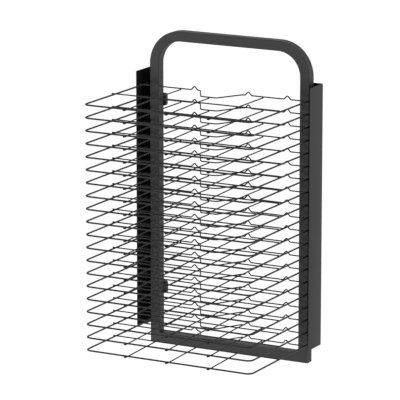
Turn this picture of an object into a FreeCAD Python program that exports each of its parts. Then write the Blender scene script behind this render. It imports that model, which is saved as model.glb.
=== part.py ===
import FreeCAD, Part
import math
import os

os.makedirs("parts", exist_ok=True)
Vector = FreeCAD.Vector

# A wall-hung rack for drying sheets of paper: a bent hoop of square tube, a sheet-steel
# channel down each side, and a stack of wire shelves whose ends pivot inside the channels.
# X runs to the right, Y into the wall and Z up. The origin is the middle of the four wall
# holes, on the plane of the wall. Heights below are measured from the foot of the hoop.

# Shelves: how many there are and how they stack
shelf_count = 20
shelf_pitch = 32.0
first_shelf = 52.0

# Hoop of square tube
hoop_width = 440.0
tube_size = 25.4
tube_wall = 1.5
tube_chamfer = 1.2
bend_radius = 73.0
handle_rise = 102.0

# Side channels, folded from sheet
sheet = 2.0
sheet_bend = 2.0
channel_depth = 71.0
flange_width = 38.0
channel_foot_margin = 9.0
channel_head_margin = 35.0

# Shelf wires: the rim and the thinner wires across it
rim_radius = 2.0
cross_radius = 1.5
shelf_reach = 318.0
front_corner = 15.0
pivot_corner = 3.5
back_wire_at = 42.0
middle_wire_at = 178.0
cross_overhang = 3.0
front_overhang = 9.0
front_lift = 2.0
depth_wire_count = 3

# Forms bent into the back wire: paper stops that stand up, and a jog towards the front
stop_height = 8.0
stop_half_base = 9.0
inner_stop = 74.0
outer_stop = 180.0
jog_depth = 66.0
jog_mouth = 58.0
jog_floor = 21.5

# Pivots and the folded rails that carry them inside the channels
pivot_inset = 5.4
pin_past_rail = 2.5
pin_clearance = 0.05
wire_clearance = 4.5
rail_clearance = 2.0
rail_standoff = 4.0
rail_arm = 9.0
rail_foot = 16.0
rail_margin = 8.0
ledge_near = 2.5
ledge_depth = 2.5
ledge_thick = 2.0
ledge_seat = 0.05

# Brackets between hoop and channel, and the holes for the wall screws
bracket_thick = 10.0
bracket_height = 31.0
bracket_overhang = 6.0
bracket_corner = 5.0
bracket_end_gap = 1.0
wall_hole_radius = 2.75
wall_hole_inset = 10.0

# Levels of the two rows of brackets, counted in shelf pitches above the first shelf
lower_bracket_pitches = 2.5
upper_bracket_pitches = 17.5

# Wires are drawn with flat sides, and their bends with chords, to keep the model light
wire_sides = 6
front_chords = 2
pivot_chords = 1

overrun = 5.0

# Places worked out from the sizes above
last_shelf = first_shelf + (shelf_count - 1) * shelf_pitch
hoop_height = last_shelf + channel_head_margin + handle_rise
origin_height = first_shelf + (lower_bracket_pitches + upper_bracket_pitches) / 2 * shelf_pitch
foot_z = -origin_height
tube_back = -sheet - bracket_thick
tube_front = tube_back - tube_size
pivot_y = tube_front + pivot_inset
tube_outer_x = hoop_width / 2
tube_inner_x = tube_outer_x - tube_size
side_wire_x = tube_outer_x + wire_clearance + rim_radius
rail_x = side_wire_x + pivot_corner + rail_clearance
web_x = rail_x + sheet + rail_standoff
wall_hole_x = (tube_outer_x + rail_x) / 2


def wire_corner(radius):
    """Distance from a wire's axis to its edges, so that the flat-sided wire keeps the round one's area."""
    return radius * math.sqrt(2 * math.pi / (wire_sides * math.sin(2 * math.pi / wire_sides)))


def wire_flat(radius):
    """Distance from a wire's axis to its flat sides."""
    return wire_corner(radius) * math.cos(math.pi / wire_sides)


def polygon_face(points):
    return Part.Face(Part.makePolygon(points + points[:1]))


def outside_out(solid):
    """The same solid with its faces turned outwards."""
    if solid.Volume < 0:
        solid.reverse()
    return solid


def prism(face, along):
    return outside_out(face.extrude(along))


def slide_to_plane(point, direction, origin, normal):
    """Move a point along a direction until it lies on a plane."""
    return point + direction * ((origin - point).dot(normal) / direction.dot(normal))


def wire_solid(points, radius):
    """A flat-sided wire along straight runs, mitred where they meet, with a flat side up."""
    runs = [(b - a).normalize() for a, b in zip(points, points[1:])]
    across = runs[0].cross(Vector(0, 0, 1)).normalize()
    up = across.cross(runs[0])
    ring = []
    for side in range(wire_sides):
        angle = math.pi / 2 + (side + 0.5) * 2 * math.pi / wire_sides
        offset = across * math.cos(angle) + up * math.sin(angle)
        ring.append(points[0] + offset * wire_corner(radius))
    rings = [ring]
    for index, run in enumerate(runs):
        last = index == len(runs) - 1
        normal = run if last else run + runs[index + 1]
        ring = [slide_to_plane(p, run, points[index + 1], normal) for p in ring]
        rings.append(ring)
    faces = [polygon_face(rings[0]), polygon_face(rings[-1])]
    for near, far in zip(rings, rings[1:]):
        for side in range(wire_sides):
            after = (side + 1) % wire_sides
            faces.append(polygon_face([near[side], near[after], far[after], far[side]]))
    return outside_out(Part.Solid(Part.Shell(faces)))


def bend_points(corner, before, after, radius, chords):
    """Points along the chords of the arc that rounds a corner between two runs."""
    to_before = (before - corner).normalize()
    to_after = (after - corner).normalize()
    half = to_before.getAngle(to_after) / 2
    centre = corner + (to_before + to_after).normalize() * (radius / math.sin(half))
    start = corner + to_before * (radius / math.tan(half)) - centre
    end = corner + to_after * (radius / math.tan(half)) - centre
    turn = start.getAngle(end)
    points = []
    for step in range(chords + 1):
        share = step / chords
        weight = math.sin(turn * (1 - share)), math.sin(turn * share)
        points.append(centre + (start * weight[0] + end * weight[1]) * (1 / math.sin(turn)))
    return points


def mirrored(shape):
    """The same piece on the other side of the rack."""
    return shape.mirror(Vector(0, 0, 0), Vector(1, 0, 0))


def hoop_section(centre, normal, size, chamfer):
    """Outline of the square tube, chamfered along its edges, across a run of the hoop."""
    side = normal.cross(Vector(0, 1, 0)).normalize()
    half = size / 2
    corners = [(-half, -half), (half, -half), (half, half), (-half, half)]
    points = []
    for index, (u, v) in enumerate(corners):
        near = corners[index - 1]
        far = corners[(index + 1) % len(corners)]
        for other in (near, far):
            if chamfer:
                du = chamfer * (other[0] - u) / size
                dv = chamfer * (other[1] - v) / size
                points.append(centre + side * (u + du) + Vector(0, v + dv, 0))
        if not chamfer:
            points.append(centre + side * u + Vector(0, v, 0))
    return Part.makePolygon(points + points[:1])


def tube_profile(centre, normal):
    """The hollow face that is drawn out or turned to make a run or a bend of the tube."""
    outer = Part.Face(hoop_section(centre, normal, tube_size, tube_chamfer))
    inner = Part.Face(hoop_section(centre, normal, tube_size - 2 * tube_wall, 0))
    return outer.cut(inner).Faces[0]


def mitre_wedge(above):
    """The corner that a 45 degree mitre takes off the left leg, or off the end of the foot tube."""
    low = Vector(-tube_outer_x - overrun, tube_front - overrun, foot_z - overrun)
    high = Vector(-tube_inner_x + overrun, tube_front - overrun, foot_z + tube_size + overrun)
    third = Vector(low.x, low.y, high.z) if above else Vector(high.x, low.y, low.z)
    return prism(polygon_face([low, high, third]), Vector(0, tube_size + 2 * overrun, 0))


def make_hoop():
    """Two legs and a top run, joined by bends turned about their own centres."""
    mid_y = tube_front + tube_size / 2
    leg_x = tube_outer_x - tube_size / 2
    top_z = foot_z + hoop_height - tube_size / 2
    bend_z = top_z - bend_radius
    bend_x = leg_x - bend_radius
    foot = Vector(-leg_x, mid_y, foot_z)
    shoulder = Vector(-leg_x, mid_y, bend_z)
    turned = Vector(-bend_x, mid_y, top_z)
    leg = prism(tube_profile(foot, Vector(0, 0, 1)), shoulder - foot).cut(mitre_wedge(False))
    bend = tube_profile(shoulder, Vector(0, 0, 1))
    bend = outside_out(bend.revolve(Vector(-bend_x, mid_y, bend_z), Vector(0, 1, 0), 90))
    top = prism(tube_profile(turned, Vector(1, 0, 0)), Vector(2 * bend_x, 0, 0))
    return leg.fuse([bend, top, mirrored(bend), mirrored(leg)]).removeSplitter()


def make_bottom_tube():
    start = Vector(-tube_outer_x, tube_front + tube_size / 2, foot_z + tube_size / 2)
    tube = prism(tube_profile(start, Vector(1, 0, 0)), Vector(hoop_width, 0, 0))
    wedge = mitre_wedge(True)
    return tube.cut([wedge, mirrored(wedge)])


def folded_strip(points, bend, bottom, height):
    """Sheet of even thickness, folded along a line of points seen from above, drawn up from the bottom."""
    centre_bend = bend + sheet / 2
    edges = []
    start = points[0]
    for before, corner, after in zip(points, points[1:], points[2:]):
        arc = bend_points(corner, before, after, centre_bend, 2)
        edges.append(Part.makeLine(start, arc[0]))
        edges.append(Part.Arc(arc[0], arc[1], arc[2]).toShape())
        start = arc[2]
    edges.append(Part.makeLine(start, points[-1]))
    halves = []
    for side in (-1, 1):
        halves.append(Part.Wire(edges).makeOffset2D(side * sheet / 2, openResult=True, join=2))
    ends = []
    for index in (0, -1):
        ends.append([wire.OrderedVertexes[index].Point for wire in halves])
    outline = [edge for wire in halves for edge in wire.Edges]
    outline += [Part.makeLine(*ends[0]), Part.makeLine(*ends[1])]
    face = Part.Face(Part.Wire(Part.__sortEdges__(outline)))
    face.translate(Vector(0, 0, bottom))
    return prism(face, Vector(0, 0, height))


def bracket_rows():
    """Height of the wall screws in the lower and the upper row of brackets."""
    levels = (lower_bracket_pitches, upper_bracket_pitches)
    return [foot_z + first_shelf + level * shelf_pitch for level in levels]


def make_channel():
    """Right-hand channel: a deep web beside the hoop, and a flange behind it, against the wall."""
    web_mid = web_x + sheet / 2
    points = [
        Vector(web_mid, -channel_depth, 0),
        Vector(web_mid, -sheet / 2, 0),
        Vector(web_x + sheet - flange_width, -sheet / 2, 0),
    ]
    bottom = foot_z + first_shelf - channel_foot_margin
    height = channel_foot_margin + (shelf_count - 1) * shelf_pitch + channel_head_margin
    channel = folded_strip(points, sheet_bend, bottom, height)
    tools = []
    for row in bracket_rows():
        wall_hole = Vector(wall_hole_x, -sheet - overrun, row)
        tools.append(Part.makeCylinder(wall_hole_radius, sheet + 2 * overrun, wall_hole, Vector(0, 1, 0)))
    return channel.cut(tools)


def make_hinge_rail():
    """Right-hand rail: a folded strip with a square hole for each pivot and a ledge in front of it."""
    arm_mid = rail_x + sheet / 2
    fold_y = pivot_y + rail_arm - sheet / 2
    foot_mid = web_x - sheet / 2
    points = [
        Vector(arm_mid, pivot_y - rail_arm, 0),
        Vector(arm_mid, fold_y, 0),
        Vector(foot_mid, fold_y, 0),
        Vector(foot_mid, fold_y + rail_foot, 0),
    ]
    bottom = foot_z + first_shelf - rail_margin
    height = 2 * rail_margin + (shelf_count - 1) * shelf_pitch
    rail = folded_strip(points, 0, bottom, height)
    hole = 2 * (wire_corner(rim_radius) + pin_clearance)
    ledge_inner = side_wire_x - rim_radius
    holes = []
    ledges = []
    for index in range(shelf_count):
        level = foot_z + first_shelf + index * shelf_pitch
        corner = Vector(rail_x - overrun, pivot_y - hole / 2, level - hole / 2)
        holes.append(Part.makeBox(sheet + 2 * overrun, hole, hole, corner))
        top = level - wire_flat(rim_radius) - ledge_seat
        front = pivot_y - ledge_near - ledge_depth
        corner = Vector(ledge_inner, front, top - ledge_thick)
        ledges.append(Part.makeBox(rail_x - ledge_inner, ledge_depth, ledge_thick, corner))
    return rail.cut(holes).fuse(ledges).removeSplitter()


def make_bracket(row):
    """Right-hand bracket: a flat bar behind the hoop's leg, rounded where it shows past the leg."""
    inner = tube_inner_x - bracket_overhang
    outer = web_x - sheet - bracket_end_gap
    low = row - wall_hole_inset
    high = low + bracket_height
    plane = tube_back
    corners = [Vector(inner, plane, low), Vector(inner, plane, high)]
    arcs = [
        bend_points(corners[0], Vector(outer, plane, low), corners[1], bracket_corner, 2),
        bend_points(corners[1], corners[0], Vector(outer, plane, high), bracket_corner, 2),
    ]
    ends = [Vector(outer, plane, high), Vector(outer, plane, low)]
    edges = [
        Part.Arc(*arcs[0]).toShape(),
        Part.makeLine(arcs[0][2], arcs[1][0]),
        Part.Arc(*arcs[1]).toShape(),
        Part.makeLine(arcs[1][2], ends[0]),
        Part.makeLine(ends[0], ends[1]),
        Part.makeLine(ends[1], arcs[0][0]),
    ]
    bar = prism(Part.Face(Part.Wire(edges)), Vector(0, bracket_thick, 0))
    wall_hole = Vector(wall_hole_x, tube_back - overrun, row)
    through = bracket_thick + 2 * overrun
    return bar.cut(Part.makeCylinder(wall_hole_radius, through, wall_hole, Vector(0, 1, 0)))


def make_rim():
    """One bent wire: a pivot, a side, the front, the other side and the other pivot."""
    end_x = rail_x + sheet + pin_past_rail
    front = pivot_y - shelf_reach
    side_corner = Vector(-side_wire_x, pivot_y, 0)
    front_corner_point = Vector(-side_wire_x, front, 0)
    start = Vector(-end_x, pivot_y, 0)
    left = [start]
    left += bend_points(side_corner, start, front_corner_point, pivot_corner, pivot_chords)
    left += bend_points(front_corner_point, side_corner, Vector(0, front, 0), front_corner, front_chords)
    right = [Vector(-p.x, p.y, p.z) for p in reversed(left)]
    return wire_solid(left + right, rim_radius)


def make_cross_wires():
    """Back wire with its stops and jog, middle wire, and the wires from back to front below them."""
    rise = wire_flat(rim_radius) + wire_flat(cross_radius)
    back = pivot_y - back_wire_at
    end = side_wire_x + cross_overhang
    half = [Vector(end, back, rise)]
    for place in (outer_stop, inner_stop):
        half.append(Vector(place + stop_half_base, back, rise))
        half.append(Vector(place, back, rise + stop_height))
        half.append(Vector(place - stop_half_base, back, rise))
    half.append(Vector(jog_mouth, back, rise))
    half.append(Vector(jog_floor, back - jog_depth, rise))
    other = [Vector(-p.x, p.y, p.z) for p in half]
    back_wire = wire_solid(other + list(reversed(half)), cross_radius)
    middle = pivot_y - middle_wire_at
    middle_wire = wire_solid([Vector(-end, middle, rise), Vector(end, middle, rise)], cross_radius)
    wires = [back_wire, middle_wire]
    below = rise - 2 * wire_flat(cross_radius)
    slope = (below + rise) / (shelf_reach - middle_wire_at)
    front = pivot_y - shelf_reach
    turn = front - wire_corner(rim_radius)
    turn_z = slope * (turn - front) - rise
    bay = 2 * side_wire_x / (depth_wire_count + 1)
    for index in range(depth_wire_count):
        x = -side_wire_x + (index + 1) * bay
        start = back - jog_depth if abs(x) < jog_floor else back
        points = [
            Vector(x, start + cross_overhang, below),
            Vector(x, middle, below),
            Vector(x, turn, turn_z),
            Vector(x, front - front_overhang, turn_z + front_lift),
        ]
        wires.append(wire_solid(points, cross_radius))
    return Part.makeCompound(wires)


def save(name, shape):
    shape.exportStep("parts/" + name + ".step")
    print(name, "solids", len(shape.Solids), "valid", shape.isValid(), "volume", round(shape.Volume))


save("hoop_tube", make_hoop())
save("bottom_tube", make_bottom_tube())

channel = make_channel()
save("right_channel", channel)
save("left_channel", mirrored(channel))

rail = make_hinge_rail()
save("right_hinge_rail", rail)
save("left_hinge_rail", mirrored(rail))

for row_name, row in zip(("lower", "upper"), bracket_rows()):
    bracket = make_bracket(row)
    save(row_name + "_right_bracket", bracket)
    save(row_name + "_left_bracket", mirrored(bracket))

rim = make_rim()
cross_wires = make_cross_wires()
for index in range(shelf_count):
    lift = Vector(0, 0, foot_z + first_shelf + index * shelf_pitch)
    number = "%02d" % (index + 1)
    save("shelf_" + number + "_rim", rim.translated(lift))
    save("shelf_" + number + "_wires", cross_wires.translated(lift))
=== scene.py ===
# %% [markdown]
# # A wall rack for drying sheets of paper
#
# The real rack is a hoop of square steel tube with a folded sheet-steel channel down each side.
# Twenty wire shelves, one above the other, pivot in those channels and stand out in front of the
# hoop. Everything wears one dark satin powder coat.
#
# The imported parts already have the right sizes, places and joints. They are loaded first and stay
# where they are. What this lesson adds is how the rack looks: round drawn wire instead of wire with
# flat sides, soft edges on tube and sheet, welds, and the coat itself.

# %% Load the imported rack
import math

import bmesh
import bpy
from mathutils import Matrix, Vector


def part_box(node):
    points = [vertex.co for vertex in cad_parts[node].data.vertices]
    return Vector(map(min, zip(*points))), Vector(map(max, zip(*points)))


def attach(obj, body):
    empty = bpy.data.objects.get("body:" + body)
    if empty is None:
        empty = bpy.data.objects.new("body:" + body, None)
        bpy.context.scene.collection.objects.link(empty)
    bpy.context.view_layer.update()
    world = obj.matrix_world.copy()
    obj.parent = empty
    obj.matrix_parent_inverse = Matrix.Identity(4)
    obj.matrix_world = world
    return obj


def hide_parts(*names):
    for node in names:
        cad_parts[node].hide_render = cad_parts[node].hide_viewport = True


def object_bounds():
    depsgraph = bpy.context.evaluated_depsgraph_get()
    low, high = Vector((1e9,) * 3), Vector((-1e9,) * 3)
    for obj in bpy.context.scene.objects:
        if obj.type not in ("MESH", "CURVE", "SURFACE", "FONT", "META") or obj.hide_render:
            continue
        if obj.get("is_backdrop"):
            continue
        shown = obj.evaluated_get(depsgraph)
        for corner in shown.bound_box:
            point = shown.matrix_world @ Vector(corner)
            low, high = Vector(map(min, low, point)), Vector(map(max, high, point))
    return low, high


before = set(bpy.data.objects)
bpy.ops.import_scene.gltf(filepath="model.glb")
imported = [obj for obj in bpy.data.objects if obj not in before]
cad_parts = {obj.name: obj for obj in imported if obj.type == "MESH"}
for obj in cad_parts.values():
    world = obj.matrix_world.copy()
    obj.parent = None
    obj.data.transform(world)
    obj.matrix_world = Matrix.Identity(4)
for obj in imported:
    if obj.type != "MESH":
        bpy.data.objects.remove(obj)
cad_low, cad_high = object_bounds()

scene = bpy.context.scene
MM = 0.001
print("rack, in mm:", [round(size / MM, 1) for size in cad_high - cad_low])

# %% [markdown]
# ## The camera
#
# The rack is seen from its right and a little from above, from far away, so that its legs look
# nearly parallel. A long lens at eight metres gives that. The camera is set by the point that it
# looks at, two angles and a distance, which is easier to adjust than a place and a rotation. Depth
# of field stays off, so every wire is sharp.

# %% Place the camera
VIEW_POINT = Vector((-79.0, -37.0, 7.5)) * MM
VIEW_AZIMUTH = math.radians(28.391)
VIEW_ELEVATION = math.radians(12.9)
VIEW_DISTANCE = 7.98
LENS = 290.6
SENSOR = 36.0


def direction(azimuth, elevation):
    """Unit vector towards the viewer: azimuth 0 is straight in front of the rack."""
    level = math.cos(elevation)
    return Vector((math.sin(azimuth) * level, -math.cos(azimuth) * level, math.sin(elevation)))


def aim(obj, place, point):
    """Put a camera or lamp at a place and turn it towards a point."""
    obj.location = place
    obj.rotation_euler = (point - place).to_track_quat("-Z", "Y").to_euler()


camera_data = bpy.data.cameras.new("camera")
camera_data.lens = LENS
camera_data.sensor_width = SENSOR
camera = bpy.data.objects.new("camera", camera_data)
scene.collection.objects.link(camera)
aim(camera, VIEW_POINT + direction(VIEW_AZIMUTH, VIEW_ELEVATION) * VIEW_DISTANCE, VIEW_POINT)
scene.camera = camera
print("camera at", [round(value, 3) for value in camera.location])

# %% [markdown]
# ## Node trees in a few words
#
# The coat and the wires are both made with nodes: shader nodes for the first, Geometry Nodes for
# the second. Both kinds of tree have named sockets, and both are easier to read when one short
# call adds a node and links what goes into it. These helpers do that.

# %% Helpers for node trees


def new_tree(kind, name, inputs, outputs):
    """An empty tree with its named inputs and outputs, and the ends that nodes are linked to."""
    tree = bpy.data.node_groups.new(name, kind)
    for label, socket_type, value in inputs:
        socket = tree.interface.new_socket(label, in_out="INPUT", socket_type=socket_type)
        if value is not None:
            socket.default_value = value
    for label, socket_type in outputs:
        tree.interface.new_socket(label, in_out="OUTPUT", socket_type=socket_type)
    return tree, tree.nodes.new("NodeGroupInput").outputs, tree.nodes.new("NodeGroupOutput").inputs


def add(tree, kind, inputs=None, **settings):
    """Add a node, choose its settings, then set its inputs or link them to other sockets."""
    node = tree.nodes.new(kind)
    for label, value in settings.items():
        setattr(node, label, value)
    for label, value in (inputs or {}).items():
        if isinstance(value, bpy.types.NodeSocket):
            tree.links.new(value, node.inputs[label])
        else:
            node.inputs[label].default_value = value
    return node


def math_node(tree, operation, first, second, third=0.0):
    """One step of arithmetic between sockets or numbers."""
    return add(tree, "ShaderNodeMath", {0: first, 1: second, 2: third}, operation=operation).outputs[0]


# %% [markdown]
# ## The powder coat
#
# Powder coat is sprayed on dry and melted into a skin. It levels out less than wet paint does, so
# it keeps a faint orange peel a few millimetres wide and a finer grain inside it. Its tone drifts a
# little from place to place, and it is rubbed smoother along edges that hands and sheets pass.
#
# Tube, sheet and wire share that effect at different sizes, so it is one shader group. It reads
# object coordinates: every piece sits at the origin, so the peel has the same real size on all of
# them and never slides. The rubbed edges come from an attribute named edge. The hoop's mesh has it,
# and a mesh without it counts as rubbed nowhere.

# %% The powder coat as a shader group
RUB_LIGHTENS = 0.8
RUB_ROUGHENS = -0.2

coat, coat_in, coat_out = new_tree("ShaderNodeTree", "powder_coat", [
    ("Tone", "NodeSocketColor", (0.02, 0.02, 0.02, 1.0)),
    ("Tone drift", "NodeSocketFloat", 0.1),
    ("Patch size", "NodeSocketFloat", 0.08),
    ("Peel size", "NodeSocketFloat", 0.003),
    ("Grain size", "NodeSocketFloat", 0.0006),
    ("Grain share", "NodeSocketFloat", 0.3),
    ("Roughness", "NodeSocketFloat", 0.4),
    ("Roughness drift", "NodeSocketFloat", 0.08),
    ("Edge rub", "NodeSocketFloat", 0.5),
], [
    ("Color", "NodeSocketColor"),
    ("Roughness", "NodeSocketFloat"),
    ("Height", "NodeSocketFloat"),
])
place = add(coat, "ShaderNodeTexCoord").outputs["Object"]


def coat_noise(size, detail):
    """Noise in lumps of a real size, in metres."""
    scale = math_node(coat, "DIVIDE", 1.0, size)
    return add(coat, "ShaderNodeTexNoise", {"Vector": place, "Scale": scale, "Detail": detail}).outputs["Fac"]


patches = math_node(coat, "SUBTRACT", coat_noise(coat_in["Patch size"], detail=3.0), 0.5)
peel = coat_noise(coat_in["Peel size"], detail=1.0)
grain = coat_noise(coat_in["Grain size"], detail=0.0)
edge = add(coat, "ShaderNodeAttribute", attribute_name="edge").outputs["Fac"]
rub = math_node(coat, "MULTIPLY", math_node(coat, "MULTIPLY", edge, coat_in["Edge rub"]),
                math_node(coat, "ADD", peel, patches))
tone_change = math_node(coat, "MULTIPLY_ADD", patches, coat_in["Tone drift"], 1.0)
brightness = math_node(coat, "MULTIPLY_ADD", rub, RUB_LIGHTENS, tone_change)
tone = add(coat, "ShaderNodeHueSaturation", {"Color": coat_in["Tone"], "Value": brightness}).outputs[0]
rough = math_node(coat, "MULTIPLY_ADD", patches, coat_in["Roughness drift"], coat_in["Roughness"])
rough = math_node(coat, "MULTIPLY_ADD", rub, RUB_ROUGHENS, rough)
height = math_node(coat, "MULTIPLY_ADD", grain, coat_in["Grain share"], peel)
coat.links.new(tone, coat_out["Color"])
coat.links.new(rough, coat_out["Roughness"])
coat.links.new(height, coat_out["Height"])
print("powder_coat has", len(coat.nodes), "nodes")

# %% [markdown]
# ## Two finishes and painted shade from one coat
#
# The tube and sheet have wide flat faces, where the peel shows. The wires are only three and four
# millimetres thick: powder flows round them in a smoother skin with a smaller peel and a softer
# gloss. The third finish is painted shade: a nearly black, dull coat that mirrors little, put deep
# inside the channels so that they render as dark as shade makes them. The bump is below a tenth of a
# millimetre, as a real coat's is. The gloss index sets how much a coat mirrors: the higher, the more.

# %% The finishes for the frame and the wires, and painted shade for the insides of the channels


def coat_finish(name, peel_depth, gloss_index, **values):
    """A material that puts the powder coat on a plain shader."""
    material = bpy.data.materials.new(name)
    material.use_nodes = True
    tree = material.node_tree
    shader = tree.nodes["Principled BSDF"]
    skin = add(tree, "ShaderNodeGroup", node_tree=coat)
    for label, value in values.items():
        skin.inputs[label.replace("_", " ")].default_value = value
    bump = add(tree, "ShaderNodeBump", {"Height": skin.outputs["Height"], "Distance": peel_depth})
    tree.links.new(skin.outputs["Color"], shader.inputs["Base Color"])
    tree.links.new(skin.outputs["Roughness"], shader.inputs["Roughness"])
    tree.links.new(bump.outputs["Normal"], shader.inputs["Normal"])
    shader.inputs["IOR"].default_value = gloss_index
    material.diffuse_color = values["Tone"]
    return material


frame_finish = coat_finish("frame_powder_coat", peel_depth=0.06 * MM, gloss_index=1.42,
                           Tone=(0.013, 0.013, 0.0137, 1.0), Peel_size=3.2 * MM, Roughness=0.58)
wire_finish = coat_finish("wire_powder_coat", peel_depth=0.03 * MM, gloss_index=1.28,
                          Tone=(0.018, 0.018, 0.019, 1.0), Peel_size=1.6 * MM, Grain_size=0.4 * MM,
                          Roughness=0.5)
# Painted shade: a near-black, dull coat that renders the channel insides and rails as dark as deep shade.
painted_shade_finish = coat_finish("painted_shade_coat", peel_depth=0.05 * MM, gloss_index=1.2,
                            Tone=(0.004, 0.004, 0.0042, 1.0), Peel_size=2.0 * MM, Grain_share=0.8,
                            Roughness=0.75)
print("finishes:", frame_finish.name, wire_finish.name, painted_shade_finish.name)

# %% [markdown]
# ## Keeping a mesh and its place apart
#
# A finished piece sits at the origin, unturned and unscaled, with its place in its mesh, as the
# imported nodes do. Then a pattern on object coordinates stays put, and a joint can carry the piece
# without surprises. These helpers make such an object, shade it smooth, keep edges sharp where two
# faces meet at more than a chosen angle, and say which body carries it.

# %% Helpers for finished pieces
SHARP_ANGLE = math.radians(38)


def piece(name, mesh, finish):
    """A finished object at the origin."""
    mesh.name = name
    mesh.materials.clear()
    mesh.materials.append(finish)
    mesh.shade_smooth()
    mesh.set_sharp_from_angle(angle=SHARP_ANGLE)
    obj = bpy.data.objects.new(name, mesh)
    scene.collection.objects.link(obj)
    return obj


def settle(obj, body, slot, *nodes):
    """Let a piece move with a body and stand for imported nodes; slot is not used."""
    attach(obj, body)
    if nodes:
        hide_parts(*nodes)


# %% [markdown]
# ## The hoop's outline and path
#
# A tube mill makes square tube with rounded corners. One length is bent twice on a large radius for
# the legs and the handle on top, and a second, mitred at 45 degrees, closes the foot. The tube's
# width and the hoop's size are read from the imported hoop, so only the radii are written here. Each
# point of the outline also says how far it is on an edge, for the rubbed coat.

# %% The hoop's outline and path
TUBE_EDGE = 1.5 * MM
TUBE_EDGE_STEPS = 5
TUBE_EDGE_LEAD = 0.6 * MM
BEND_RADIUS = 73.0 * MM
BEND_STEPS = 28

hoop_low, hoop_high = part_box("hoop_tube")
tube = hoop_high.y - hoop_low.y
tube_y = (hoop_high.y + hoop_low.y) / 2
leg_x = hoop_high.x - tube / 2
foot_z = hoop_low.z + tube / 2
top_z = hoop_high.z - tube / 2


def square_outline(size, radius):
    """Points round a square with rounded corners, and how far each one is on an edge."""
    points = []
    inner = size / 2 - radius
    for quarter in range(4):
        turn = Matrix.Rotation(quarter * math.pi / 2, 2)
        points.append((turn @ Vector((size / 2, inner - TUBE_EDGE_LEAD)), 0.0))
        for step in range(TUBE_EDGE_STEPS + 1):
            angle = step / TUBE_EDGE_STEPS * math.pi / 2
            corner = Vector((inner + radius * math.cos(angle), inner + radius * math.sin(angle)))
            points.append((turn @ corner, math.sin(2 * angle)))
        points.append((turn @ Vector((inner - TUBE_EDGE_LEAD, size / 2)), 0.0))
    return points


path = [Vector((-leg_x, tube_y, foot_z))]
for side in (-1, 1):
    centre = Vector((side * (leg_x - BEND_RADIUS), tube_y, top_z - BEND_RADIUS))
    arc = []
    for step in range(BEND_STEPS + 1):
        angle = math.pi / 2 * step / BEND_STEPS
        arc.append(centre + BEND_RADIUS * Vector((side * math.cos(angle), 0, math.sin(angle))))
    path += arc if side < 0 else arc[::-1]
path.append(Vector((leg_x, tube_y, foot_z)))
outline = square_outline(tube, TUBE_EDGE)
print("hoop:", len(path), "rings of", len(outline), "points")

# %% [markdown]
# ## The hoop's skin
#
# A curve with a bevel would thin the tube at the two mitres, because it turns its outline halfway
# without stretching it. So the outline is carried from ring to ring: along each run every
# point slides in the run's own direction until it meets the plane of the next ring. On a mitre that
# plane lies at 45 degrees, and the tube keeps its full width.

# %% Carry the outline round the hoop


def closed_tube(name, centres, outline):
    """Skin of a tube round a closed path in an XZ plane, with true mitres at its corners."""
    bm = bmesh.new()
    edge_layer = bm.verts.layers.float.new("edge")
    count = len(centres)
    rings = []
    for index, centre in enumerate(centres):
        before = (centre - centres[index - 1]).normalized()
        after = (centres[(index + 1) % count] - centre).normalized()
        halfway = (before + after).normalized()
        side = halfway.cross(Vector((0, 1, 0))).normalized()
        stretch = 1 / before.dot(halfway)
        ring = []
        for (u, v), on_edge in outline:
            vertex = bm.verts.new(centre + side * (u * stretch) + Vector((0, v, 0)))
            vertex[edge_layer] = on_edge
            ring.append(vertex)
        rings.append(ring)
    for index, ring in enumerate(rings):
        other = rings[(index + 1) % count]
        for point in range(len(ring)):
            after = (point + 1) % len(ring)
            bm.faces.new((ring[point], ring[after], other[after], other[point]))
    bmesh.ops.recalc_face_normals(bm, faces=bm.faces)
    mesh = bpy.data.meshes.new(name)
    bm.to_mesh(mesh)
    bm.free()
    return mesh


hoop = piece("hoop", closed_tube("hoop", path, outline), frame_finish)
settle(hoop, "frame", "frame_coating", "hoop_tube", "bottom_tube")
print("hoop has", len(hoop.data.polygons), "faces")

# %% [markdown]
# ## Channels, hinge rails and brackets
#
# These are cut and folded from sheet and bar. Their imported shapes are right, but every edge is
# perfectly sharp, and no coated edge is: powder draws into a small radius there, which catches a
# thin line of light. Each piece is a copy of the imported mesh with its loose triangles merged, its
# flat faces joined up, and its edges rounded by less than a millimetre.
#
# A channel wears two finishes. The faces that look into it, from a little behind its mouth on, get
# the painted shade coat, which renders them as dark as deep shade. The rail lies wholly inside, so it has that
# painted shade alone.

# %% Round the edges of a copy
SHEET_EDGE = 0.35 * MM
BAR_EDGE = 0.8 * MM
EDGE_STEPS = 2
ROUND_PROFILE = 0.5
MERGE_DISTANCE = 0.002 * MM
FLAT_ANGLE = math.radians(0.5)
FOLD_ANGLE = math.radians(40)


def rounded_copy(name, node, radius):
    """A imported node's shape with every outer edge rounded."""
    bm = bmesh.new()
    bm.from_mesh(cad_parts[node].data)
    bmesh.ops.remove_doubles(bm, verts=bm.verts, dist=MERGE_DISTANCE)
    bmesh.ops.dissolve_limit(bm, angle_limit=FLAT_ANGLE, verts=bm.verts, edges=bm.edges)
    sharp = [e for e in bm.edges if len(e.link_faces) == 2 and e.calc_face_angle() > FOLD_ANGLE]
    bmesh.ops.bevel(bm, geom=sharp, offset=radius, segments=EDGE_STEPS, profile=ROUND_PROFILE,
                    affect="EDGES", clamp_overlap=True, offset_type="OFFSET")
    mesh = bpy.data.meshes.new(name)
    bm.to_mesh(mesh)
    bm.free()
    return mesh


# %% Coat and place the sheet pieces
MOUTH = 2.0 * MM
INSIDE_FACING = 0.5


def paint_shade_inside(mesh, inward, mouth_y):
    """Give the faces that look into a channel, behind its mouth, the near-black coat of painted shade."""
    mesh.materials.append(painted_shade_finish)
    for face in mesh.polygons:
        # Faces that look into the channel, behind its mouth, get the painted shade coat.
        looks_in = max(face.normal.x * inward, -face.normal.y) > INSIDE_FACING
        face.material_index = int(looks_in and face.center.y > mouth_y)


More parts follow.
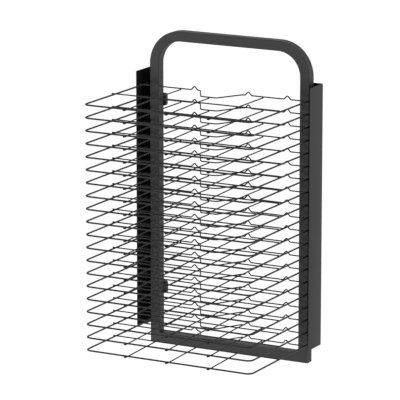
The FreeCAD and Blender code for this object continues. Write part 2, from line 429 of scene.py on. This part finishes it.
for side, inward in (("right", -1), ("left", 1)):
    node = side + "_channel"
    channel = piece(side + "_side_channel", rounded_copy(side, node, SHEET_EDGE), frame_finish)
    paint_shade_inside(channel.data, inward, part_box(node)[0].y + MOUTH)
    settle(channel, "frame", "frame_coating", node)
    node = side + "_hinge_rail"
    # The rail gets the painted shade coat alone.
    rail = piece(side + "_pivot_rail", rounded_copy(side, node, SHEET_EDGE), painted_shade_finish)
    settle(rail, "frame", "frame_coating", node)
    for row in ("upper", "lower"):
        node = row + "_" + side + "_bracket"
        bar = piece(node + "_bar", rounded_copy(node, node, BAR_EDGE), frame_finish)
        settle(bar, "frame", "frame_coating", node)
    print(side, "channel, rail and a bracket:",
          [len(obj.data.polygons) for obj in (channel, rail, bar)], "faces")

# %% [markdown]
# ## Bent and welded wire
#
# A shelf starts as straight wire. The rim is bent round three sides, and its ends turn outwards as
# pivots. Thinner wires cross it: a back wire with four raised stops and a jog in its middle, a
# plain middle wire, and three wires from back to front that dip under the rim. A press squeezes
# each crossing between electrodes, which leaves a small flat swelling.
#
# All of that follows paths, so Geometry Nodes make it. The input is a mesh of edges, one chain for
# each wire. Each corner carries its bend radius and its wire's radius. The tree turns chains into
# curves, rounds the corners, sweeps a circle along them, sets a swelling on each crossing and a
# round tip on each cut end. The seed is an input, so a weld comes out the same each time.

# %% The inputs of the tree that makes welded wire
BLOB_SEGMENTS = 8
BLOB_RINGS = 5

wire_tree, wire_in, wire_out = new_tree("GeometryNodeTree", "welded_wire", [
    ("Paths", "NodeSocketGeometry", None),
    ("Bend steps", "NodeSocketInt", 7),
    ("Wire sides", "NodeSocketInt", 14),
    ("Weld radius", "NodeSocketFloat", 0.0021),
    ("Weld height", "NodeSocketFloat", 0.0014),
    ("Weld spread", "NodeSocketFloat", 0.12),
    ("Tip radius", "NodeSocketFloat", 0.0019),
    ("Seed", "NodeSocketInt", 1),
    ("Finish", "NodeSocketMaterial", None),
], [("Wires", "NodeSocketGeometry")])


def attribute(name):
    """A value that the path mesh carries on each of its points."""
    return add(wire_tree, "GeometryNodeInputNamedAttribute", {"Name": name}, data_type="FLOAT").outputs[0]


# %% Bend the paths and draw the wire along them
curves = add(wire_tree, "GeometryNodeMeshToCurve", {"Mesh": wire_in["Paths"]})
bent = add(wire_tree, "GeometryNodeFilletCurve", {
    "Curve": curves.outputs[0],
    "Count": wire_in["Bend steps"],
    "Radius": attribute("bend"),
    "Limit Radius": True,
}, mode="POLY")
section = add(wire_tree, "GeometryNodeCurvePrimitiveCircle", {"Resolution": wire_in["Wire sides"], "Radius": 1.0})
drawn = add(wire_tree, "GeometryNodeCurveToMesh", {
    "Curve": bent.outputs[0],
    "Profile Curve": section.outputs["Curve"],
    "Scale": attribute("gauge"),
    "Fill Caps": True,
})
print("welded_wire so far has", len(wire_tree.nodes), "nodes")

# %% Set the welds and the tips
blob = add(wire_tree, "GeometryNodeMeshUVSphere", {"Segments": BLOB_SEGMENTS, "Rings": BLOB_RINGS, "Radius": 1.0})
weld_size = add(wire_tree, "ShaderNodeCombineXYZ", {
    "X": wire_in["Weld radius"], "Y": wire_in["Weld radius"], "Z": wire_in["Weld height"],
})
smallest = math_node(wire_tree, "SUBTRACT", 1.0, wire_in["Weld spread"])
vary = add(wire_tree, "FunctionNodeRandomValue", {2: smallest, "Seed": wire_in["Seed"]}, data_type="FLOAT")
scaled = add(wire_tree, "ShaderNodeVectorMath", {0: weld_size.outputs[0], "Scale": vary.outputs[1]},
             operation="SCALE")
welds = add(wire_tree, "GeometryNodeInstanceOnPoints", {
    "Points": wire_in["Paths"],
    "Selection": attribute("weld"),
    "Instance": blob.outputs["Mesh"],
    "Scale": scaled.outputs[0],
})
tips = add(wire_tree, "GeometryNodeInstanceOnPoints", {
    "Points": wire_in["Paths"],
    "Selection": attribute("tip"),
    "Instance": blob.outputs["Mesh"],
    "Scale": wire_in["Tip radius"],
})
joined = add(wire_tree, "GeometryNodeJoinGeometry")
for part in (drawn, welds, tips):
    wire_tree.links.new(part.outputs[0], joined.inputs[0])
real = add(wire_tree, "GeometryNodeRealizeInstances", {"Geometry": joined.outputs[0]})
coated = add(wire_tree, "GeometryNodeSetMaterial", {"Geometry": real.outputs[0], "Material": wire_in["Finish"]})
wire_tree.links.new(coated.outputs[0], wire_out["Wires"])
print("welded_wire has", len(wire_tree.nodes), "nodes")

# %% [markdown]
# ## The sizes of a shelf's wires
#
# The sizes are the real shelf's, and the coat adds a tenth of a millimetre to each wire's radius.
# Only the rim's ends stay bare, because a coat would bind where they turn in the rails. The cross
# wires lie on the rim, a little sunk into it by the weld, so their height comes from the packed
# rim. Both heights are counted from the rim's middle: rise is that of the cross wires, and below is
# that of the wires from back to front, which touch them from underneath.

# %% Sizes of a shelf
COAT = 0.1 * MM
RIM_GAUGE = 2.0 * MM
CROSS_GAUGE = 1.5 * MM
TIP_RADIUS = 1.9 * MM
PIVOT_Y = -32.0 * MM
BARE_Y = -40.0 * MM
COAT_STEP = 1.0 * MM
SIDE_X = 226.5 * MM
FRONT_Y = -350.0 * MM
BACK_WIRE_Y = -74.0 * MM
MIDDLE_WIRE_Y = -210.0 * MM
OVERHANG = 3.0 * MM - TIP_RADIUS
STOPS = (180.0 * MM, 74.0 * MM)
STOP_HALF = 9.0 * MM
STOP_HEIGHT = 9.2 * MM
JOG_MOUTH = 58.0 * MM
JOG_FLOOR = 21.5 * MM
JOG_Y = -140.0 * MM
DEPTH_WIRES = (-113.25 * MM, 0.0, 113.25 * MM)
FRONT_TURN = 2.2 * MM
FRONT_OVERHANG = 9.0 * MM - TIP_RADIUS
FRONT_LIFT = 2.0 * MM

rim_low, rim_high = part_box("shelf_01_rim")
rim_flat = (rim_high.z - rim_low.z) / 2
cross_flat = rim_flat * CROSS_GAUGE / RIM_GAUGE
rise = rim_flat + cross_flat
below = rise - 2 * cross_flat
pin_x = rim_high.x
print("cross wires lie", round(rise / MM, 2), "mm above the rim's middle")

# %% [markdown]
# ## The rim and the wires across it
#
# A path is a list of corners, each with its bend radius, and the mirror image gives the other half
# of a wire that is alike on both sides. Two corners without a bend mark where the rim's coat ends.

# %% Corners of the rim, the back wire and the middle wire
PIVOT_BEND = 3.5 * MM
RIM_BEND = 15.0 * MM
STOP_FOOT_BEND = 4.0 * MM
STOP_TOP_BEND = 3.0 * MM
JOG_BEND = 10.0 * MM


def both_sides(half):
    """A wire's corners from its left end to its right end, from those of its right half."""
    left = [(Vector((-p.x, p.y, p.z)), bend) for p, bend in half]
    return left + half[::-1]


rim_half = [
    (Vector((pin_x, PIVOT_Y, 0)), 0.0),
    (Vector((SIDE_X, PIVOT_Y, 0)), PIVOT_BEND),
    (Vector((SIDE_X, BARE_Y + COAT_STEP, 0)), 0.0),
    (Vector((SIDE_X, BARE_Y - COAT_STEP, 0)), 0.0),
    (Vector((SIDE_X, FRONT_Y, 0)), RIM_BEND),
]
cross_end = SIDE_X + OVERHANG
back_half = [(Vector((cross_end, BACK_WIRE_Y, rise)), 0.0)]
for stop in STOPS:
    back_half += [
        (Vector((stop + STOP_HALF, BACK_WIRE_Y, rise)), STOP_FOOT_BEND),
        (Vector((stop, BACK_WIRE_Y, rise + STOP_HEIGHT)), STOP_TOP_BEND),
        (Vector((stop - STOP_HALF, BACK_WIRE_Y, rise)), STOP_FOOT_BEND),
    ]
back_half += [
    (Vector((JOG_MOUTH, BACK_WIRE_Y, rise)), JOG_BEND),
    (Vector((JOG_FLOOR, JOG_Y, rise)), JOG_BEND),
]
middle_half = [(Vector((cross_end, MIDDLE_WIRE_Y, rise)), 0.0)]
wires = [
    (both_sides(rim_half), RIM_GAUGE),
    (both_sides(back_half), CROSS_GAUGE),
    (both_sides(middle_half), CROSS_GAUGE),
]
crossings = []
for y in (BACK_WIRE_Y, MIDDLE_WIRE_Y):
    crossings += [Vector((side * SIDE_X, y, rim_flat)) for side in (-1, 1)]
print("the rim and the wires across it have", sum(len(corners) for corners, gauge in wires), "corners")

# %% [markdown]
# ## The wires from back to front
#
# Each of the three starts under the back wire, runs level to the middle wire and slopes down from
# there, so that it passes under the rim. The slope goes on a little past the rim at the same rate,
# which gives the height of the last turn, and from there the end points up again. The middle one
# starts at the jog, because the back wire stands forward there.

# %% Corners of the wires from back to front
SLOPE_BEND = 60.0 * MM
TURN_BEND = 20.0 * MM

turn_y = FRONT_Y - FRONT_TURN
turn_z = -rise - (below + rise) / (MIDDLE_WIRE_Y - FRONT_Y) * FRONT_TURN
for x in DEPTH_WIRES:
    start_y = BACK_WIRE_Y if x else JOG_Y
    wires.append(([
        (Vector((x, start_y + OVERHANG, below)), 0.0),
        (Vector((x, MIDDLE_WIRE_Y, below)), SLOPE_BEND),
        (Vector((x, turn_y, turn_z)), TURN_BEND),
        (Vector((x, FRONT_Y - FRONT_OVERHANG, turn_z + FRONT_LIFT)), 0.0),
    ], CROSS_GAUGE))
    crossings += [
        Vector((x, start_y, (below + rise) / 2)),
        Vector((x, MIDDLE_WIRE_Y, (below + rise) / 2)),
        Vector((x, FRONT_Y, -rim_flat)),
    ]
print("one shelf:", len(wires), "wires,", len(crossings), "welds")

# %% [markdown]
# ## Twenty shelves
#
# The same paths are lifted to each shelf's own pivot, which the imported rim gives. The modifier's
# inputs are set before the object is first evaluated, its result becomes a plain mesh, and the
# modifier goes. Each shelf is one mesh on one body, because each swings by itself. Its number is
# its seed, so the welds differ from shelf to shelf.

# %% Turn paths into a mesh that a tree can read


def path_mesh(name, paths, spots, lift):
    """Edges along every path, with loose points where welds go."""
    points, edges, bends, gauges, weld_marks, tip_marks = [], [], [], [], [], []
    for corners, gauge in paths:
        first = len(points)
        for index, (place, bend) in enumerate(corners):
            points.append(place + lift)
            bends.append(bend)
            gauges.append(gauge if place.y > BARE_Y else gauge + COAT)
            weld_marks.append(0.0)
            tip_marks.append(float(gauge == CROSS_GAUGE and index in (0, len(corners) - 1)))
        edges += [(index, index + 1) for index in range(first, len(points) - 1)]
    for spot in spots:
        points.append(spot + lift)
        bends.append(0.0)
        gauges.append(0.0)
        weld_marks.append(1.0)
        tip_marks.append(0.0)
    mesh = bpy.data.meshes.new(name)
    mesh.from_pydata(points, edges, [])
    for label, values in (("bend", bends), ("gauge", gauges), ("weld", weld_marks), ("tip", tip_marks)):
        mesh.attributes.new(label, "FLOAT", "POINT").data.foreach_set("value", values)
    return mesh


# %% Grow the shelves


def grow(name, mesh, tree, finish, **values):
    """Run a tree on a mesh and return its result as a plain mesh."""
    host = bpy.data.objects.new(name, mesh)
    scene.collection.objects.link(host)
    modifier = host.modifiers.new(tree.name, "NODES")
    modifier.node_group = tree
    sockets = {s.name: s.identifier for s in tree.interface.items_tree if s.in_out == "INPUT"}
    modifier[sockets["Finish"]] = finish
    for label, value in values.items():
        modifier[sockets[label.replace("_", " ")]] = value
    grown = host.evaluated_get(bpy.context.evaluated_depsgraph_get())
    result = bpy.data.meshes.new_from_object(grown)
    bpy.data.objects.remove(host)
    return result


shelf_count = sum(1 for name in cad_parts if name.endswith("_rim"))
for number in range(1, shelf_count + 1):
    shelf = "shelf_%02d" % number
    low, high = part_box(shelf + "_rim")
    paths = path_mesh("paths", wires, crossings, Vector((0, 0, (low.z + high.z) / 2)))
    grown = grow("paths", paths, wire_tree, wire_finish, Tip_radius=TIP_RADIUS, Seed=number)
    grid = piece(shelf + "_grid", grown, wire_finish)
    settle(grid, shelf, "wire_coating", shelf + "_rim", shelf + "_wires")
print(shelf_count, "shelves of", len(grid.data.polygons), "faces each")

# %% [markdown]
# ## Weld beads behind the hoop
#
# The brackets are welded to the hoop in front of them and to the channels' flanges behind them,
# along their upper and lower edges. A bead is a row of small puddles, each frozen a little over the
# one before. The second tree lays one puddle at every step of a path and varies its size a little,
# because a hand holds the torch.

# %% The tree that lays weld beads
bead_tree, bead_in, bead_out = new_tree("GeometryNodeTree", "weld_bead", [
    ("Paths", "NodeSocketGeometry", None),
    ("Step", "NodeSocketFloat", 0.0014),
    ("Radius", "NodeSocketFloat", 0.0017),
    ("Spread", "NodeSocketFloat", 0.18),
    ("Seed", "NodeSocketInt", 7),
    ("Finish", "NodeSocketMaterial", None),
], [("Beads", "NodeSocketGeometry")])
runs = add(bead_tree, "GeometryNodeMeshToCurve", {"Mesh": bead_in["Paths"]})
steps = add(bead_tree, "GeometryNodeResampleCurve", {"Curve": runs.outputs[0], "Length": bead_in["Step"]},
            mode="LENGTH")
puddle = add(bead_tree, "GeometryNodeMeshUVSphere", {
    "Segments": BLOB_SEGMENTS, "Rings": BLOB_RINGS, "Radius": bead_in["Radius"],
})
least = math_node(bead_tree, "SUBTRACT", 1.0, bead_in["Spread"])
wobble = add(bead_tree, "FunctionNodeRandomValue", {2: least, "Seed": bead_in["Seed"]}, data_type="FLOAT")
puddles = add(bead_tree, "GeometryNodeInstanceOnPoints", {
    "Points": steps.outputs[0],
    "Instance": puddle.outputs["Mesh"],
    "Scale": wobble.outputs[1],
})
solid = add(bead_tree, "GeometryNodeRealizeInstances", {"Geometry": puddles.outputs[0]})
painted = add(bead_tree, "GeometryNodeSetMaterial", {"Geometry": solid.outputs[0], "Material": bead_in["Finish"]})
bead_tree.links.new(painted.outputs[0], bead_out["Beads"])
print("weld_bead has", len(bead_tree.nodes), "nodes")

# %% [markdown]
# ## The places of the beads
#
# Each bracket has four beads: above and below it, where its front meets the hoop's leg and where
# its back meets the flange. A welder stops a little short of each corner, and so do these.

# %% Weld the brackets on
BEAD_END = 2.5 * MM

seams = []
for side, name in ((1, "right"), (-1, "left")):
    flange_edge = min(abs(corner.x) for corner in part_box(name + "_channel"))
    for row in ("upper", "lower"):
        low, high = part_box(row + "_" + name + "_bracket")
        reach = max(abs(low.x), abs(high.x))
        on_leg = (low.y, leg_x - tube / 2, leg_x + tube / 2)
        on_flange = (high.y, flange_edge, reach)
        for z in (low.z, high.z):
            for y, inner, outer in (on_leg, on_flange):
                ends = (inner + BEAD_END, outer - BEAD_END)
                seams.append(([(Vector((side * x, y, z)), 0.0) for x in ends], 0.0))
beads = grow("seams", path_mesh("seams", seams, (), Vector()), bead_tree, frame_finish)
bracket_welds = piece("bracket_welds", beads, frame_finish)
settle(bracket_welds, "frame", "frame_coating")
print(len(seams), "beads of", len(beads.polygons) // len(seams), "faces or so")

# %% [markdown]
# ## The floor
#
# The rack hangs on a wall with its foot well above the floor, so the floor lies lower than the
# rack and its shadow falls out of the picture. The floor is pale and looks white to the camera.
#
# A satin coat shows mostly what it mirrors. So rays that the camera sees or that glossy faces
# mirror find white, while the diffuse light that falls on things is set apart from that.

# %% Lay the floor
FLOOR_DROP = 0.75
FLOOR_HALF = 40.0
FLOOR_ROUGHNESS = 0.9
FLOOR_GLOW = 0.7
PALE = (0.85, 0.85, 0.85, 1.0)
WHITE = (1.0, 1.0, 1.0, 1.0)


def seen_rays(tree):
    """1 for rays from the camera, a glossy face or glass, and 0 for diffuse light."""
    rays = add(tree, "ShaderNodeLightPath").outputs
    mirrored = math_node(tree, "MAXIMUM", rays["Is Glossy Ray"], rays["Is Transmission Ray"])
    return math_node(tree, "MAXIMUM", rays["Is Camera Ray"], mirrored)


floor_mesh = bpy.data.meshes.new("floor")
floor_z = cad_low.z - FLOOR_DROP
corners = [(x * FLOOR_HALF, y * FLOOR_HALF, floor_z) for x, y in ((-1, -1), (1, -1), (1, 1), (-1, 1))]
floor_mesh.from_pydata(corners, [], [(0, 1, 2, 3)])
floor = bpy.data.objects.new("floor", floor_mesh)
scene.collection.objects.link(floor)
floor_finish = bpy.data.materials.new("pale_floor")
floor_finish.use_nodes = True
tree = floor_finish.node_tree
floor_shader = tree.nodes["Principled BSDF"]
floor_shader.inputs["Base Color"].default_value = PALE
floor_shader.inputs["Roughness"].default_value = FLOOR_ROUGHNESS
floor_shader.inputs["Emission Color"].default_value = WHITE
glow = math_node(tree, "MULTIPLY", seen_rays(tree), FLOOR_GLOW)
tree.links.new(glow, floor_shader.inputs["Emission Strength"])
floor_mesh.materials.append(floor_finish)
floor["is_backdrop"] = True
print("floor at", round(floor_z, 3))

# %% [markdown]
# ## The surroundings
#
# A white room would light the rack evenly from everywhere and flatten it. So the surroundings are
# white only where they are seen or mirrored, and give about a third of that as diffuse light.

# %% Light from the surroundings
AMBIENT = 0.35

world = bpy.data.worlds.new("studio")
scene.world = world
world.use_nodes = True
tree = world.node_tree
strength = math_node(tree, "MULTIPLY_ADD", seen_rays(tree), 1.0 - AMBIENT, AMBIENT)
background = tree.nodes["Background"]
background.inputs["Color"].default_value = WHITE
tree.links.new(strength, background.inputs["Strength"])
scene.view_settings.view_transform = "Standard"
print("surroundings give", AMBIENT, "of white as diffuse light")

# %% [markdown]
# ## The lamps
#
# Three soft boxes do the rest. The key lamp stands in front on the left, a little below the rack's
# middle, and lights the fronts of tube and wire. A weaker one, also low, in front on the right,
# keeps the shaded sides from going black. The third stands beside the rack, a little behind it, and
# lights the outside of the right channel.

# %% Set the lamps


def soft_lamp(name, azimuth, elevation, distance, size, power):
    """A square soft box that faces the rack."""
    data = bpy.data.lights.new(name, "AREA")
    data.size = size
    data.energy = power
    lamp = bpy.data.objects.new(name, data)
    scene.collection.objects.link(lamp)
    place = direction(math.radians(azimuth), math.radians(elevation)) * distance
    aim(lamp, place, Vector((0, 0, 0)))


soft_lamp("key_lamp", azimuth=-28, elevation=-6, distance=5.0, size=1.2, power=75)
soft_lamp("low_lamp", azimuth=40, elevation=-12, distance=3.0, size=0.8, power=14)
soft_lamp("side_lamp", azimuth=115, elevation=12, distance=3.6, size=1.4, power=20)
print("lamps:", [light.name for light in bpy.data.lights])

# %% Write the sizes and finish
low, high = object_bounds()
print("visual minus packed, in mm:", [round((a - b) / MM, 2) for a, b in zip(high - low, cad_high - cad_low)])
